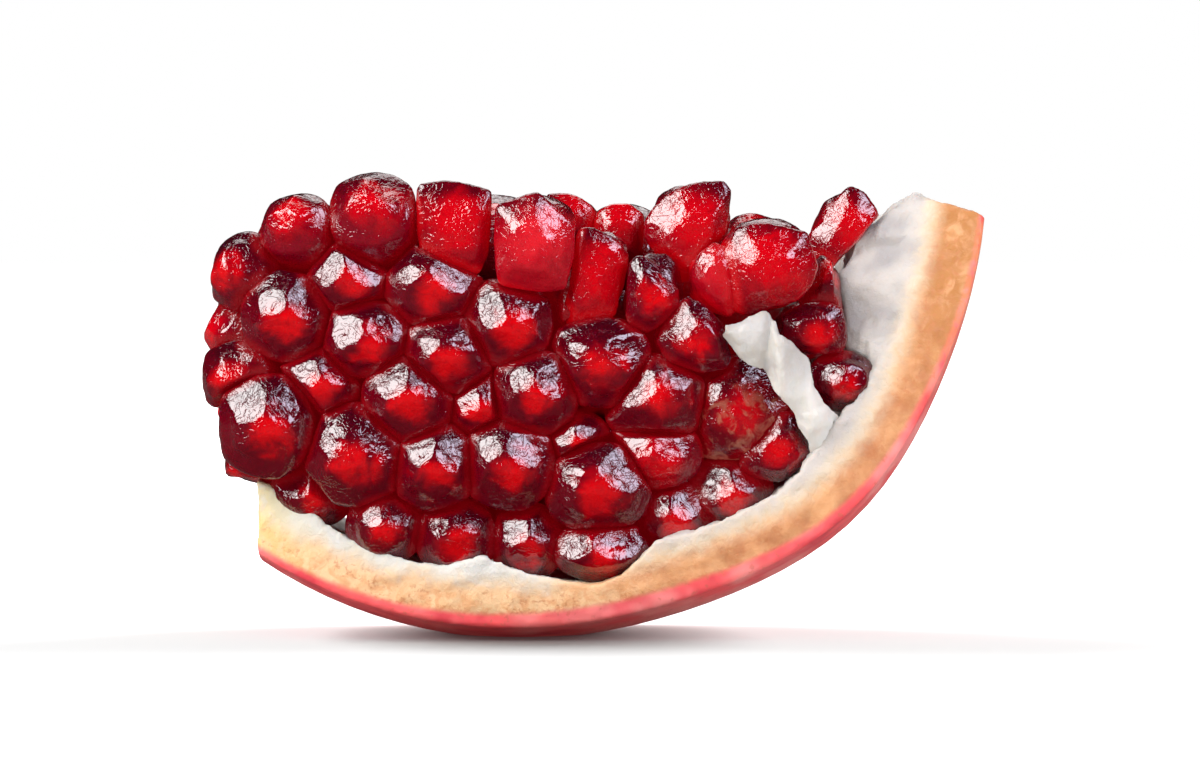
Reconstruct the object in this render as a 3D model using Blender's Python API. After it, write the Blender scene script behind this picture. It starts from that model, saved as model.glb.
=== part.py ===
"""A section broken off a pomegranate, lying on the outside of its rind.

A curved piece of rind carries a torn flap of septum and a mass of arils: a front layer whose caps face
the viewer, a crown of standing arils along the top, and a back layer, joined row by row.
Run it with blender --background --python part.py. Lengths are in metres and +Z is up. The origin is the
middle of the flat spot that the rind rests on, and the fruit was a ball about FRUIT_CENTRE.
"""

import math
from collections import namedtuple

import bmesh
import bpy
import numpy as np
from mathutils import Vector

MM = 0.001

# The fruit and its rind. An angle is measured about the Y axis through FRUIT_CENTRE, from straight down,
# and grows towards +X.
FRUIT_RADIUS = 49.3 * MM
REST_CUT = 0.6 * MM  # depth of the flat spot that it lies on
FRUIT_CENTRE = Vector((0, 0, FRUIT_RADIUS - REST_CUT))
RIND_ANGLES = (math.radians(-47), math.radians(88))
RIND_STEPS = 42
SKIN_STEPS = 9
INSIDE_STEPS = 7
TORN_STEPS = 3  # over the broken front face, from the inside to the skin
TOP_END_PLACE = Vector((44.9, 0, 45.35)) * MM  # the upper end was broken off along a slant here
TOP_END_FACING = Vector((0.27, 0, 0.96))
LEFT_END_X = -27.4 * MM  # the rind was broken off square here
BULGE = 1.6 * MM  # how far the skin stands out round BULGE_ANGLE
BULGE_ANGLE = math.radians(44)
BULGE_SPREAD = math.radians(17)
FRONT_REACH = 14.5 * MM  # from the middle plane to the broken front edge, where it is deepest
BACK_REACH = 14.5 * MM
DEEPEST_ANGLE = math.radians(14)
TAPER_SPAN = math.radians(62)  # this far from DEEPEST_ANGLE the front edge has lost TAPER_LOSS of its reach
TAPER_LOSS = 0.52
TAPER_CURVE = 2.2
BACK_EVENNESS = 0.35  # how much less than the front edge the back edge tapers
INNER_RADIUS = 41.6 * MM  # at the front and back edges
INNER_BELLY = 1.1 * MM  # how much farther out the inside lies on the middle plane
PITH_FROM = math.radians(56)  # past this angle the pith thickens towards the back
PITH_RISE = 2.0  # how soon past it, over the angle that is left, the pith is thickest
PITH_CURVE = 0.7
PITH_THICKNESS = 8.0 * MM
PITH_FRONT_CUT = 0.9 * MM
PITH_SLOPE = 7.0  # how soon, over the rind's depth, the pith reaches its full thickness
CORNER_PLACE = Vector((35.3, 0, 41.6)) * MM  # the pith's upper corner is torn off along a slant here
CORNER_FACING = Vector((-0.63, 0, 0.78))
TEETH = (  # angle and width in degrees, and height in mm, of the teeth and notches of the torn inner edge
    (-33, 3.5, 1.3),
    (-5, 4.0, 1.9),
    (11.5, 6.0, -2.0),
    (21, 4.0, 1.2),
    (41, 6.0, -1.1),
)
TEETH_FADE = 2.5  # how soon, over the rind's depth, the teeth die out

# The septum flap: middle, width and thickness of each section in mm, from its root to its torn tip.
FLAP_SECTIONS = (
    ((31.0, -11.6, 23.4), 5.0, 1.5),
    ((29.3, -13.0, 26.0), 4.2, 1.3),
    ((27.9, -14.0, 28.9), 4.0, 1.2),
    ((25.2, -14.8, 31.4), 4.4, 1.1),
    ((22.2, -15.0, 32.6), 2.6, 0.9),
)
FLAP_SIDES = 8
FLAP_THIN = Vector((0.15, -1, 0.1))  # roughly the way that the flap is thin

# Arils
ARIL_LENGTH = 14.0 * MM
OUTER_FULLNESS = 1.14  # an aril's size before its neighbours flatten it, over the size that shows
INNER_FULLNESS = 1.30  # the same for one with neighbours all round
TIP_TAPER = 0.38
TIP_CURVE = 1.6
CAP_BLUNTNESS = 0.80
ROUNDNESS = 2.5  # 2 is an ellipsoid, and more is boxier
GAP = 0.3 * MM  # between an aril and what it touches
WALL_GAP = 0.5 * MM  # between an aril and the rind, whose torn edge is uneven
FACE_MIDDLE = (-4.0 * MM, 25.0 * MM)  # x and z of the front face's most forward point
FACE_Y = 16.2 * MM  # how far forward it is
FACE_FALL = 4.6 * MM  # how far the front face falls back at FACE_SPAN from its middle
FACE_SPAN = 36.0 * MM
LEANING = 0.2  # an aril whose facing turns aside by more than this is placed LEAN_SHIFT behind its cap
LEAN_SHIFT = 2.0 * MM
MERGE = 0.08 * MM  # corners closer than this are one
CLEAR_REACH = 14.0 * MM  # two arils whose middles are farther apart can't touch
WALL_NEARNESS = 1.2  # how near, in an aril's own sizes, the rind has to be to flatten it
FLAP_NEARNESS = 1.6
SKEWED = 0.4  # a wall that slants more than this past an aril is cut square to the aril instead
SAMPLE_TURN = 1.5  # degrees between the places where the rind's inside is measured
SAMPLE_SHARE = 1 / 21
NEARLY = 0.9  # a wall point is cleared when a chosen plane leaves this much of WALL_GAP before it
NUDGE = 1e-3  # the small change of angle or share that the wall's slope is measured over
STEEP = 0.6  # an aril whose facing rises by more than this takes its upright from the Y axis
STANDING = 0.5  # an aril whose facing rises by more than this lets the light through
CUT_DISTANCE = 1e-7

Aril = namedtuple("Aril", "name place size facing")


def front(name, x, z, width, height, sunk=0.0, facing=(0, -1, 0)):
    """An aril with its cap in the front face, sunk behind that face or proud of it, all in mm."""
    facing = Vector(facing).normalized()
    off_x = x * MM - FACE_MIDDLE[0]
    off_z = z * MM - FACE_MIDDLE[1]
    fall = FACE_FALL * (off_x**2 + off_z**2) / FACE_SPAN**2
    cap = Vector((x * MM, -FACE_Y + fall + sunk * MM, z * MM))
    place = cap - facing * (ARIL_LENGTH / 2)
    if facing.z > LEANING or abs(facing.x) > LEANING:
        place.x = x * MM - facing.x * LEAN_SHIFT
        place.z = z * MM - facing.z * LEAN_SHIFT
    return Aril(name, place, Vector((width * MM, height * MM, ARIL_LENGTH)), facing)


def standing(name, place, size, facing):
    """An aril placed by its middle, with its width, depth and length, all in mm."""
    return Aril(name, Vector(place) * MM, Vector(size) * MM, Vector(facing).normalized())


FRONT_ARILS = (
    front("upper_1", -22.9, 42.6, 7.2, 6.8, 0.5, (-0.35, -0.75, 0.5)),
    front("upper_2", -15.2, 44.0, 8.6, 8.7, 0.3, (-0.1, -0.8, 0.55)),
    front("upper_3", -28.3, 38.0, 6.6, 8.0, 2.0, (-0.6, -0.75, 0.2)),
    front("upper_4", -17.9, 38.0, 8.6, 7.8),
    front("upper_5", -9.0, 36.9, 9.0, 7.4),
    front("upper_6", -1.2, 33.1, 7.7, 7.9),
    front("upper_7", 5.0, 34.2, 6.0, 8.0, 2.6),
    front("upper_8", 14.1, 36.0, 6.6, 8.6, 0.6),
    front("middle_1", -25.2, 34.2, 8.6, 9.2, -0.5, (-0.2, -1, 0.1)),
    front("middle_2", -15.8, 31.4, 8.8, 6.6),
    front("middle_3", -7.5, 29.8, 8.2, 6.6),
    front("middle_4", 1.6, 25.8, 7.6, 7.4),
    front("middle_5", 8.4, 29.0, 9.3, 7.8),
    front("middle_6", 17.7, 31.6, 7.4, 8.6),
    front("middle_7", -20.8, 26.8, 7.3, 6.8, 0.2),
    front("middle_8", -28.9, 27.3, 7.6, 7.4, 1.0, (-0.5, -0.9, 0)),
    front("middle_9", -11.6, 25.2, 8.0, 8.0),
    front("middle_10", -4.2, 24.8, 6.0, 6.8, 1.0),
    front("middle_11", 14.1, 25.2, 9.2, 7.8),
    front("middle_12", 22.6, 23.9, 9.6, 9.8, 0.3),
    front("lower_1", -26.2, 22.4, 9.4, 10.4, -1.0, (-0.25, -1, -0.05)),
    front("lower_2", -17.1, 19.4, 9.2, 9.2, -0.3),
    front("lower_3", -8.8, 18.1, 7.2, 7.8),
    front("lower_4", -1.1, 18.4, 8.1, 8.1),
    front("lower_5", 5.6, 20.9, 6.4, 4.8, 0.9),
    front("lower_6", 8.2, 15.9, 9.5, 7.8, -0.5),
    front("lower_7", 13.9, 19.4, 8.8, 6.0, 0.2),
    front("lower_8", 26.9, 20.2, 8.2, 8.6, 0.2),
    front("floor_1", -22.2, 15.4, 8.8, 6.0, 0.4),
    front("floor_2", -13.8, 12.2, 7.3, 6.4, 0.4),
    front("floor_3", -6.7, 11.2, 7.7, 6.2, 0.3),
    front("floor_4", 0.7, 10.9, 6.8, 5.8, 0.6),
    front("floor_5", 8.6, 9.3, 9.9, 5.8, -0.4),
    front("floor_6", 16.3, 13.1, 7.4, 5.6, 0.4),
    front("floor_7", 22.4, 15.4, 9.0, 6.0, 0.3),
    front("chamber_1", 30.4, 32.2, 7.4, 5.9, 0.6),
    front("chamber_2", 34.4, 26.8, 7.0, 6.0, -1.6),
)
STANDING_ARILS = (
    standing("crown_1", (-6.7, -8.0, 41.8), (8.4, 9.0, 12.4), (-0.05, -0.5, 0.9)),
    standing("crown_2", (1.6, -9.6, 41.0), (8.9, 9.4, 12.6), (0.1, -0.65, 0.75)),
    standing("crown_3", (8.6, -8.2, 37.6), (6.0, 6.6, 11.5), (0.05, -0.5, 0.85)),
    standing("crown_4", (17.6, -4.6, 42.2), (9.2, 8.0, 11.6), (0.15, -0.45, 0.85)),
    standing("crown_5", (25.8, -8.0, 38.6), (10.8, 10.0, 11.6), (-0.1, -0.75, 0.65)),
    standing("crown_6", (33.4, -1.6, 41.6), (6.8, 6.6, 11.4), (0.45, -0.15, 0.9)),
    standing("inner_1", (5.4, -1.4, 41.4), (6.8, 6.6, 10.6), (0, -0.1, 1)),
    standing("inner_2", (10.6, -1.8, 40.6), (6.4, 6.2, 10.0), (0, -0.2, 1)),
    standing("inner_3", (20.4, -8.4, 36.4), (6.0, 6.2, 10.6), (0, -0.6, 0.8)),
    standing("inner_4", (24.8, 1.2, 39.6), (6.6, 6.6, 10.4), (0, 0.1, 1)),
    standing("inner_5", (32.2, -5.6, 36.2), (5.6, 6.4, 9.4), (0.2, -0.7, 0.7)),
    standing("side_1", (-28.7, -5.2, 32.0), (7.0, 6.6, 9.4), (-0.9, -0.4, 0.1)),
    standing("side_2", (-27.6, -2.4, 24.4), (7.4, 7.2, 9.4), (-0.95, -0.2, -0.25)),
    standing("side_3", (-26.8, -6.0, 18.6), (7.0, 6.6, 9.2), (-0.7, -0.5, -0.4)),
)

# The back layer: rows of arils, evenly spaced and joined along each row.
BACK_ROWS = (  # name, height of the row, first and last aril's x, number of arils
    ("back_row_1", 12.4, -11.0, 13.0, 4),
    ("back_row_2", 19.4, -23.0, 24.0, 7),
    ("back_row_3", 26.6, -27.4, 28.6, 8),
    ("back_row_4", 34.0, -27.6, 25.0, 8),
    ("back_row_5", 40.6, -22.8, -2.6, 4),
    ("back_row_6", 39.6, 4.4, 17.4, 3),
)
BACK_FACE_Y = 14.2 * MM
BACK_SIZE = 9.0 * MM
BACK_LIFT = 0.8 * MM  # every second aril of a row stands this much higher
CORE_ROW = "core_row"  # standing arils between the two layers at the left, joined like the back rows
CORE_PLACES = ((-23.6, 0.4, 38.6), (-16.4, 0.9, 39.5), (-9.3, 0.5, 38.9), (-2.2, 1.0, 39.3))
CORE_SIZE = (8.4, 8.0, 13.0)
BACK_SPREAD = (9, 22)  # how much, per metre off the middle, the back caps turn outwards and upwards
CORE_SPREAD = 1 / 90

RIND_COLOUR = (0.62, 0.13, 0.09)
PITH_COLOUR = (0.88, 0.80, 0.68)
DARK_ARIL = (0.22, 0.002, 0.012)
CLEAR_ARIL = (0.46, 0.01, 0.03)
RIND_ROUGHNESS = 0.45
PITH_ROUGHNESS = 0.55
ARIL_ROUGHNESS = 0.12


def remove_everything():
    for obj in list(bpy.data.objects):
        bpy.data.objects.remove(obj, do_unlink=True)


def make_material(name, colour, roughness):
    material = bpy.data.materials.new(name)
    material.use_nodes = True
    shader = material.node_tree.nodes["Principled BSDF"]
    shader.inputs["Base Color"].default_value = (*colour, 1)
    shader.inputs["Roughness"].default_value = roughness
    shader.inputs["Metallic"].default_value = 0
    material.diffuse_color = (*colour, 1)
    return material


def add_object(name, bm, colour, roughness):
    """Turns a bmesh into a named object with a material of its own."""
    bmesh.ops.recalc_face_normals(bm, faces=bm.faces)
    if bm.calc_volume(signed=True) < 0:
        bmesh.ops.reverse_faces(bm, faces=bm.faces)
    mesh = bpy.data.meshes.new(name)
    bm.to_mesh(mesh)
    bm.free()
    obj = bpy.data.objects.new(name, mesh)
    bpy.context.scene.collection.objects.link(obj)
    mesh.materials.append(make_material(name, colour, roughness))
    return obj


def hump(value, middle, spread):
    """1 at the middle, falling smoothly to nothing on both sides."""
    return math.exp(-(((value - middle) / spread) ** 2))


def taper(angle):
    """How much of the rind's full reach it keeps at an angle: it narrows towards both torn ends."""
    span = abs(angle - DEEPEST_ANGLE) / TAPER_SPAN
    return 1 - TAPER_LOSS * span**TAPER_CURVE


def rind_point(angle, depth_share, wall_share):
    """A point of the rind: depth 0 is the front edge and 1 the back, and wall 0 inside and 1 the skin."""
    front_reach = FRONT_REACH * taper(angle)
    back_reach = BACK_REACH * (BACK_EVENNESS + (1 - BACK_EVENNESS) * taper(angle))
    y = -front_reach + depth_share * (front_reach + back_reach)
    ball = FRUIT_RADIUS + BULGE * hump(angle, BULGE_ANGLE, BULGE_SPREAD)
    skin = math.sqrt(ball**2 - y**2)
    inside = INNER_RADIUS + INNER_BELLY * (1 - (y / FRONT_REACH) ** 2)
    inside += PITH_FRONT_CUT * pith_share(angle)
    inside -= PITH_THICKNESS * pith_share(angle) * min(1, PITH_SLOPE * depth_share)
    torn = sum(
        height * hump(math.degrees(angle), middle, width) for middle, width, height in TEETH
    )
    inside -= torn * MM * max(0, 1 - TEETH_FADE * depth_share)
    inside = max(inside, torn_corner(angle))
    radius = inside + wall_share * (skin - inside)
    turned = Vector((math.sin(angle) * radius, y, -math.cos(angle) * radius))
    return FRUIT_CENTRE + turned


def pith_share(angle):
    """0 where the wall is plain, rising to 1 where the pith is thickest."""
    rise = (angle - PITH_FROM) / (RIND_ANGLES[1] - PITH_FROM)
    return min(1, max(0, rise) * PITH_RISE) ** PITH_CURVE


def torn_corner(angle):
    """The radius at which the torn corner's slant crosses an angle, or 0 where it doesn't."""
    if angle < PITH_FROM:
        return 0
    outward = Vector((math.sin(angle), 0, -math.cos(angle)))
    return CORNER_FACING.dot(CORNER_PLACE - FRUIT_CENTRE) / CORNER_FACING.dot(outward)


def cut(bm, point, normal):
    """Cuts away what lies beyond a plane and closes the cut."""
    everything = bm.verts[:] + bm.edges[:] + bm.faces[:]
    result = bmesh.ops.bisect_plane(
        bm,
        geom=everything,
        plane_co=point,
        plane_no=normal,
        clear_outer=True,
        dist=CUT_DISTANCE,
    )
    edges = [item for item in result["geom_cut"] if isinstance(item, bmesh.types.BMEdge)]
    bmesh.ops.edgeloop_fill(bm, edges=edges)


def rind_profile(bm):
    """The closed outline of the rind's wall, as (vertex, depth share, wall share)."""
    skin = [(step / SKIN_STEPS, 1.0) for step in range(SKIN_STEPS + 1)]
    back = [(1.0, 0.5)]
    inside = [(step / INSIDE_STEPS, 0.0) for step in range(INSIDE_STEPS, -1, -1)]
    torn_front = [(0.0, step / TORN_STEPS) for step in range(1, TORN_STEPS)]
    return [(bm.verts.new((0, 0, 0)), *shares) for shares in skin + back + inside + torn_front]


def make_rind():
    """Spins the wall's outline about the fruit's middle, then gives each place its thickness and tears."""
    bm = bmesh.new()
    depth = bm.verts.layers.float.new("depth")
    wall = bm.verts.layers.float.new("wall")
    outline = rind_profile(bm)
    for vert, depth_share, wall_share in outline:
        vert[depth] = depth_share
        vert[wall] = wall_share
        vert.co = rind_point(RIND_ANGLES[0], depth_share, wall_share)
    face = bm.faces.new([vert for vert, _, _ in outline])
    bmesh.ops.spin(
        bm,
        geom=[face, *face.edges, *face.verts],
        cent=FRUIT_CENTRE,
        axis=(0, -1, 0),
        angle=RIND_ANGLES[1] - RIND_ANGLES[0],
        steps=RIND_STEPS,
        use_duplicate=False,
    )
    for vert in bm.verts:
        off = vert.co - FRUIT_CENTRE
        angle = math.atan2(off.x, -off.z)
        vert.co = rind_point(angle, vert[depth], vert[wall])
    cut(bm, (LEFT_END_X, 0, 0), (-1, 0, 0))
    cut(bm, TOP_END_PLACE, TOP_END_FACING)
    cut(bm, (0, 0, 0), (0, 0, -1))
    return add_object("rind", bm, RIND_COLOUR, RIND_ROUGHNESS)


def make_septum_flap():
    """A curved ribbon of membrane, bridged from section to section."""
    bm = bmesh.new()
    loops = []
    middles = [Vector(place) * MM for place, _, _ in FLAP_SECTIONS]
    for index, (_, width, thickness) in enumerate(FLAP_SECTIONS):
        before = middles[max(index - 1, 0)]
        after = middles[min(index + 1, len(middles) - 1)]
        along = (after - before).normalized()
        across = along.cross(FLAP_THIN).normalized()
        thin = across.cross(along).normalized()
        ring = []
        for side in range(FLAP_SIDES):
            turn = 2 * math.pi * side / FLAP_SIDES
            offset = across * math.cos(turn) * width / 2 + thin * math.sin(turn) * thickness / 2
            ring.append(bm.verts.new(middles[index] + offset * MM))
        loops.append([bm.edges.new((ring[i - 1], ring[i])) for i in range(FLAP_SIDES)])
    for first, second in zip(loops, loops[1:]):
        bmesh.ops.bridge_loops(bm, edges=first + second)
    bmesh.ops.edgeloop_fill(bm, edges=loops[0])
    bmesh.ops.edgeloop_fill(bm, edges=loops[-1])
    return add_object("septum_flap", bm, PITH_COLOUR, PITH_ROUGHNESS)


def hidden_arils():
    """The back layer and the core row, by row: {row name: arils}."""
    rows = {}
    for name, z, first_x, last_x, count in BACK_ROWS:
        rows[name] = []
        for number in range(count):
            x = (first_x + (last_x - first_x) * number / (count - 1)) * MM
            height = z * MM + (BACK_LIFT if number % 2 else 0)
            off_x = x - FACE_MIDDLE[0]
            off_z = height - FACE_MIDDLE[1]
            fall = FACE_FALL * (off_x**2 + off_z**2) / FACE_SPAN**2
            facing = Vector((off_x * BACK_SPREAD[0], 1, max(0, off_z) * BACK_SPREAD[1])).normalized()
            place = Vector((x, BACK_FACE_Y - fall, height)) - facing * ARIL_LENGTH / 2
            place.x = x - facing.x * LEAN_SHIFT
            place.z = height - facing.z * LEAN_SHIFT
            size = Vector((BACK_SIZE, BACK_SIZE, ARIL_LENGTH))
            rows[name].append(Aril(f"{name}_{number + 1}", place, size, facing))
    rows[CORE_ROW] = [
        standing(f"{CORE_ROW}_{number}", place, CORE_SIZE, (place[0] * CORE_SPREAD, 0.1, 1))
        for number, place in enumerate(CORE_PLACES, start=1)
    ]
    return rows


def weight(aril):
    """The radius that an aril claims its space with."""
    return (aril.size.x + aril.size.y) / 4


def plane_between(aril, other, gap):
    """The plane that parts two arils, as a point and a normal that points away from the first."""
    away = other.place - aril.place
    distance = away.length
    away.normalize()
    share = (distance**2 + weight(aril) ** 2 - weight(other) ** 2) / (2 * distance)
    return aril.place + away * (share - gap / 2), away


def fullness(aril):
    """An aril that faces straight forward has neighbours all round, and one that leans is at the edge."""
    return INNER_FULLNESS if aril.facing.y == -1 else OUTER_FULLNESS


def aril_axes(aril):
    """An aril's own directions: across, upright and the way its cap faces."""
    up = Vector((0, 0, 1)) if abs(aril.facing.z) < STEEP else Vector((0, 1, 0))
    across = up.cross(aril.facing).normalized()
    return across, aril.facing.cross(across), aril.facing


def nearness(aril, points):
    """How far each point is from an aril's middle, where 1 is its untrimmed surface."""
    offsets = points - np.array(aril.place)
    wide = fullness(aril) / 2
    reach = [aril.size.x * wide, aril.size.y * wide, aril.size.z / 2]
    axes = np.array([direction[:] for direction in aril_axes(aril)])
    return np.linalg.norm(offsets @ axes.T / reach, axis=1)


def wall_samples():
    """Points on the inside of the rind's wall, and the directions there that point into the wall."""
    points = []
    normals = []
    for angle in np.arange(RIND_ANGLES[0], RIND_ANGLES[1], math.radians(SAMPLE_TURN)):
        for share in np.arange(0, 1.01, SAMPLE_SHARE):
            point = rind_point(angle, share, 0)
            round_it = rind_point(angle + NUDGE, share, 0) - rind_point(angle - NUDGE, share, 0)
            through = rind_point(angle, share + NUDGE, 0) - rind_point(angle, share - NUDGE, 0)
            if point.x > LEFT_END_X:
                points.append(point[:])
                normals.append(round_it.cross(through).normalized()[:])
    return np.array(points), np.array(normals)


def wall_planes(aril, planes, points, normals):
    """The planes, WALL_GAP short of the wall, that flatten an aril where it would still reach the wall."""
    depths = nearness(aril, points)
    order = [i for i in np.argsort(depths) if depths[i] < WALL_NEARNESS]
    chosen = list(planes)
    for i in order:
        point = Vector(points[i])
        if any((point - corner).dot(away) > WALL_GAP * NEARLY for corner, away in chosen):
            continue
        outward = (point - aril.place).normalized()
        normal = Vector(normals[i])
        if normal.dot(outward) < SKEWED:
            normal = outward
        chosen.append((point - normal * WALL_GAP, normal))
    return chosen[len(planes):]


def clearing_plane(aril, points):
    """The plane, GAP short of the points near an aril, that leaves the most of it, or None."""
    near = points[nearness(aril, points) < FLAP_NEARNESS] - np.array(aril.place)
    if not len(near):
        return None
    normals = near / np.linalg.norm(near, axis=1)[:, None]
    margins = (normals @ near.T).min(axis=1)
    best = int(margins.argmax())
    normal = Vector(normals[best])
    return aril.place + normal * (float(margins[best]) - GAP), normal


def whole_aril(bm, aril):
    """A blunt cap that tapers to a rounded tip, in place and facing its way."""
    bmesh.ops.create_icosphere(bm, subdivisions=2, radius=1)
    across, upright, _ = aril_axes(aril)
    wide = fullness(aril) / 2
    for vert in bm.verts:
        x, y, z = vert.co
        size = (abs(x) ** ROUNDNESS + abs(y) ** ROUNDNESS + abs(z) ** ROUNDNESS) ** (1 / ROUNDNESS)
        x, y, z = x / size, y / size, z / size
        narrow = 1 - TIP_TAPER * ((1 - z) / 2) ** TIP_CURVE
        along = z if z < 0 else z**CAP_BLUNTNESS
        vert.co = (
            aril.place
            + across * x * narrow * aril.size.x * wide
            + upright * y * narrow * aril.size.y * wide
            + aril.facing * along * aril.size.z / 2
        )


def trimmed_aril(aril, planes):
    """An aril flattened by its neighbours: cut by each plane, as one convex body."""
    bm = bmesh.new()
    whole_aril(bm, aril)
    for point, normal in planes:
        if all((vert.co - point).dot(normal) < 0 for vert in bm.verts):
            continue
        everything = bm.verts[:] + bm.edges[:] + bm.faces[:]
        bmesh.ops.bisect_plane(
            bm,
            geom=everything,
            plane_co=point,
            plane_no=normal,
            clear_outer=True,
            dist=CUT_DISTANCE,
        )
        bmesh.ops.convex_hull(bm, input=bm.verts[:])
    bmesh.ops.remove_doubles(bm, verts=bm.verts, dist=MERGE)
    corners = [vert.co.copy() for vert in bm.verts]
    bm.clear()
    for corner in corners:
        bm.verts.new(corner)
    bmesh.ops.convex_hull(bm, input=bm.verts[:])
    bmesh.ops.delete(bm, geom=[vert for vert in bm.verts if not vert.link_faces], context="VERTS")
    return bm


def join(base, others):
    """Joins the others to the base with one Boolean each, and hides them from the render.

    The hulls hold thin triangles that make the EXACT solver lose an aril, so this is the MANIFOLD one.
    """
    for other in others:
        union = base.modifiers.new("join_" + other.name, "BOOLEAN")
        union.operation = "UNION"
        union.solver = "MANIFOLD"
        union.object = other
        other.hide_render = True
        other.display_type = "WIRE"


def make_arils(septum_flap):
    """Builds every aril, parted from its neighbours and clear of the rind and the septum flap."""
    rows = hidden_arils()
    singles = list(FRONT_ARILS + STANDING_ARILS)
    row_of = {aril.name: row for row, arils in rows.items() for aril in arils}
    everyone = singles + [aril for arils in rows.values() for aril in arils]
    wall = wall_samples()
    flap = np.array([vert.co[:] for vert in septum_flap.data.vertices])
    made = {}
    for aril in everyone:
        planes = []
        for other in everyone:
            same_row = row_of.get(aril.name, aril.name) == row_of.get(other.name, other.name)
            if not same_row and (other.place - aril.place).length < CLEAR_REACH:
                planes.append(plane_between(aril, other, GAP))
        planes += filter(None, [clearing_plane(aril, flap)])
        planes += wall_planes(aril, planes, *wall)
        colour = CLEAR_ARIL if aril.facing.z > STANDING else DARK_ARIL
        name = "aril_" + aril.name
        made[aril.name] = add_object(name, trimmed_aril(aril, planes), colour, ARIL_ROUGHNESS)
    for row, arils in rows.items():
        base = made[arils[0].name]
        join(base, [made[aril.name] for aril in arils[1:]])
        base.name = "arils_" + row


def main():
    remove_everything()
    make_rind()
    make_arils(make_septum_flap())


main()
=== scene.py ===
import logging
import math
import random
from dataclasses import dataclass, field
from enum import Enum

import bpy
import numpy as np
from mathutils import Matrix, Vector
from mathutils.kdtree import KDTree


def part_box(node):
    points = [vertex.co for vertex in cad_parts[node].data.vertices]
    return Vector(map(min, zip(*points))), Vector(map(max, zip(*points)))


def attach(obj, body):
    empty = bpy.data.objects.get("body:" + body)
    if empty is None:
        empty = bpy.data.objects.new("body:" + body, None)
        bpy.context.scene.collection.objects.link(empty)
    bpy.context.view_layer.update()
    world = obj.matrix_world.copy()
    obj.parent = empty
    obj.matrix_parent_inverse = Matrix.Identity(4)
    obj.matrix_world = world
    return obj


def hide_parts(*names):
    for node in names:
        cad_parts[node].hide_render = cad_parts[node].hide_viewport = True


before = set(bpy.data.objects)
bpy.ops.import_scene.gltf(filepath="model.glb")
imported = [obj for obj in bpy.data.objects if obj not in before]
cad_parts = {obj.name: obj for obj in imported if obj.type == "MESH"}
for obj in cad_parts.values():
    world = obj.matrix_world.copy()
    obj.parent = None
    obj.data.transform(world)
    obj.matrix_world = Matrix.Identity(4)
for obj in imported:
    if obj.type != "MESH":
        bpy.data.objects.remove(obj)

MM = 0.001
MERGE = 0.01 * MM  # points closer than this are one
NEARLY_FLAT = math.radians(3)  # faces that meet at less than this are one
NOTHING = 1e-9
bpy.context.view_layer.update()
LOG = logging.getLogger("pomegranate")

Colour = tuple[float, float, float]
Triple = tuple[float, float, float]
WHITE = (1.0, 1.0, 1.0)


class Val:
    """A number in a material's nodes, so that shader maths reads as plain arithmetic."""

    def __init__(self, recipe: "Recipe", socket: bpy.types.NodeSocket) -> None:
        """Wraps one output socket of a recipe's node."""
        self.recipe = recipe
        self.socket = socket

    def math(self, operation: str, *others: "Val | float") -> "Val":
        """Adds one Math node, whose values are this one and the others."""
        values = dict(enumerate((self, *others)))
        return self.recipe.node("ShaderNodeMath", {"operation": operation}, values)

    def __add__(self, other: "Val | float") -> "Val":
        """This plus the other."""
        return self.math("ADD", other)

    __radd__ = __add__

    def __sub__(self, other: "Val | float") -> "Val":
        """This minus the other."""
        return self.math("SUBTRACT", other)

    def __rsub__(self, other: float) -> "Val":
        """The other minus this."""
        return self.recipe.node("ShaderNodeMath", {"operation": "SUBTRACT"}, {0: other, 1: self})

    def __mul__(self, other: "Val | float") -> "Val":
        """This times the other."""
        return self.math("MULTIPLY", other)

    __rmul__ = __mul__

    def size(self) -> "Val":
        """This without its sign."""
        return self.math("ABSOLUTE")

    def step(self, start: float, end: float) -> "Val":
        """A soft step.

        Args:
            start: the value at which the step is 0.
            end: the value at which it is 1, which may be the smaller.

        Returns:
            The step, from 0 to 1.
        """
        low, high = sorted((start, end))
        inputs = {0: self, 1: low, 2: high, 3: float(start > end), 4: float(start < end)}
        return self.recipe.node("ShaderNodeMapRange", {"interpolation_type": "SMOOTHSTEP"}, inputs)


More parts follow.
